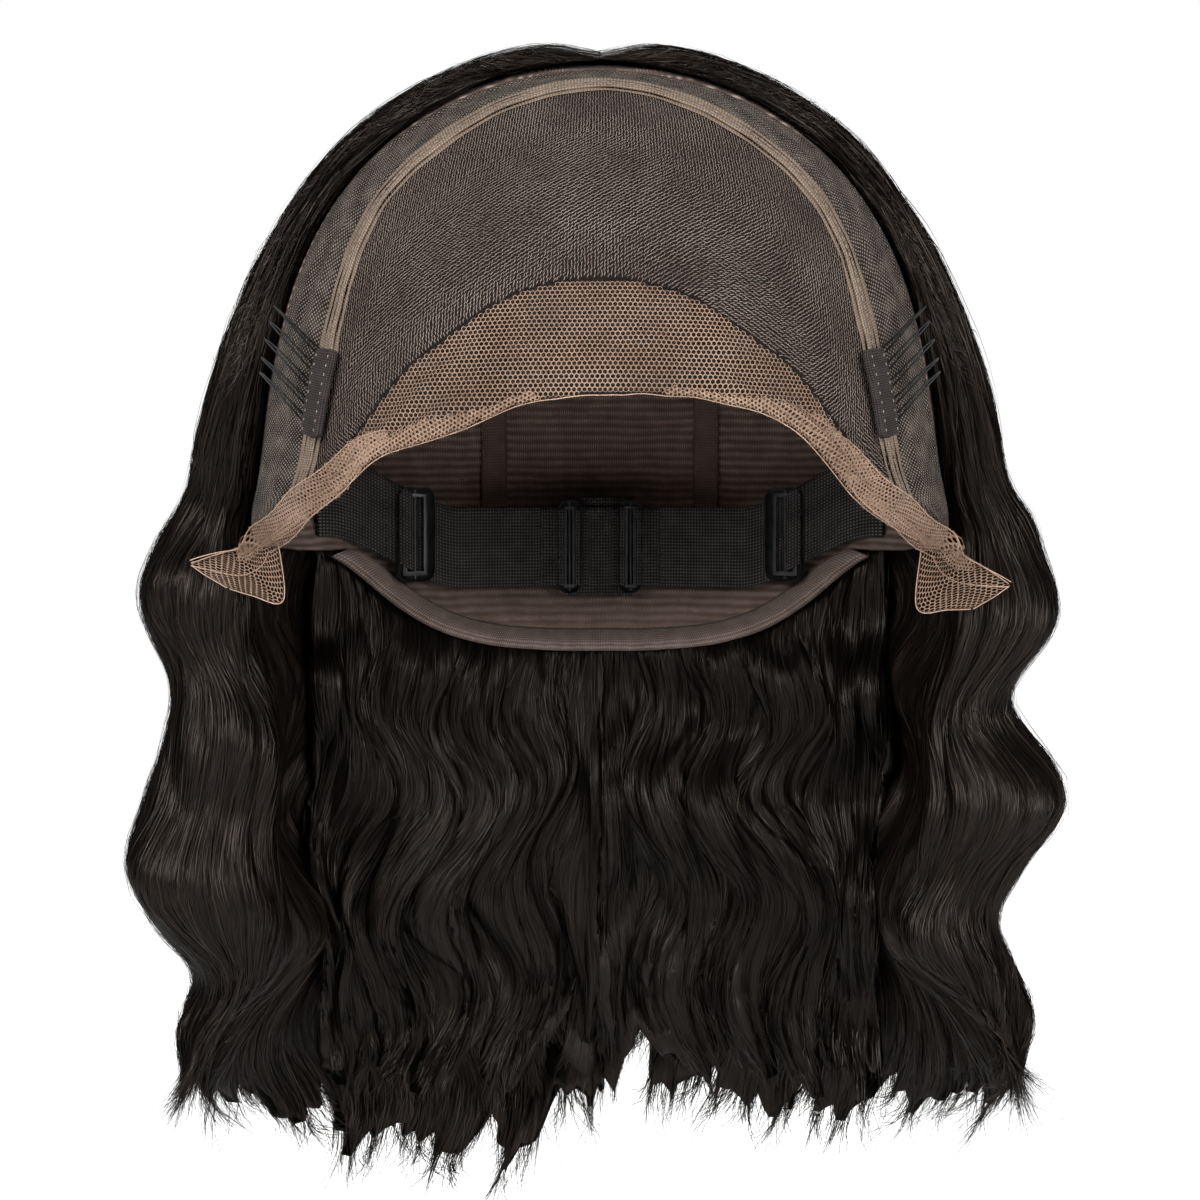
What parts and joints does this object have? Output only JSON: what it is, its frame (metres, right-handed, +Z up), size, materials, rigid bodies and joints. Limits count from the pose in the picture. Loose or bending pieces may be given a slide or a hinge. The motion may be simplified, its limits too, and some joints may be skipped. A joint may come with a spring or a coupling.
{
  "type": "lace front wig",
  "caption": "Lace front wig with dark wavy hair, a free tan lace edge, side combs and an elastic nape strap, held up as a head holds it",
  "frame": {"origin": "inside of the cap at the top of the crown, where a head bears on it", "axes": "+Z up, -Y towards the side of the face, +X to the right of a viewer who looks at that side"},
  "size_m": [0.2708, 0.2255, 0.3568],
  "materials": {
    "ventilated_lace": "dark lace with rows of fine knots",
    "stretch_mesh": "khaki stretch mesh",
    "seam_binding": "tan bound seam",
    "free_lace": "tan hexagonal net",
    "weft_cap": "dark brown wefted cap",
    "hem_binding": "grey-brown stitched hem",
    "elastic": "black ribbed elastic",
    "strap_hardware": "black coated",
    "comb_cloth": "dark grey cloth",
    "comb_wire": "black coated wire",
    "hair": "wavy near-black brown hair"
  },
  "bodies": {
    "root": {"lace_front_panel": "ventilated_lace", "ear_to_ear_band": "stretch_mesh", "front_seam": "seam_binding", "lace_edge": "free_lace", "back_wall": "weft_cap", "nape_hem": "hem_binding", "seam_tape_left": "weft_cap", "seam_tape_right": "weft_cap", "elastic_end_left": "elastic", "strap_left": "elastic", "strap_middle": "elastic", "strap_right": "elastic", "elastic_end_right": "elastic", "strap_tab": "elastic", "slider_left": "strap_hardware", "slider_right": "strap_hardware", "hook_left": "strap_hardware", "hook_right": "strap_hardware", "comb_cover_left": "comb_cloth", "comb_cover_right": "comb_cloth", "comb_wire_left": "comb_wire", "comb_wire_right": "comb_wire", "hair_left": "hair", "hair_right": "hair", "hair_nape_left": "hair", "hair_nape_right": "hair"}
  },
  "joints": []
}
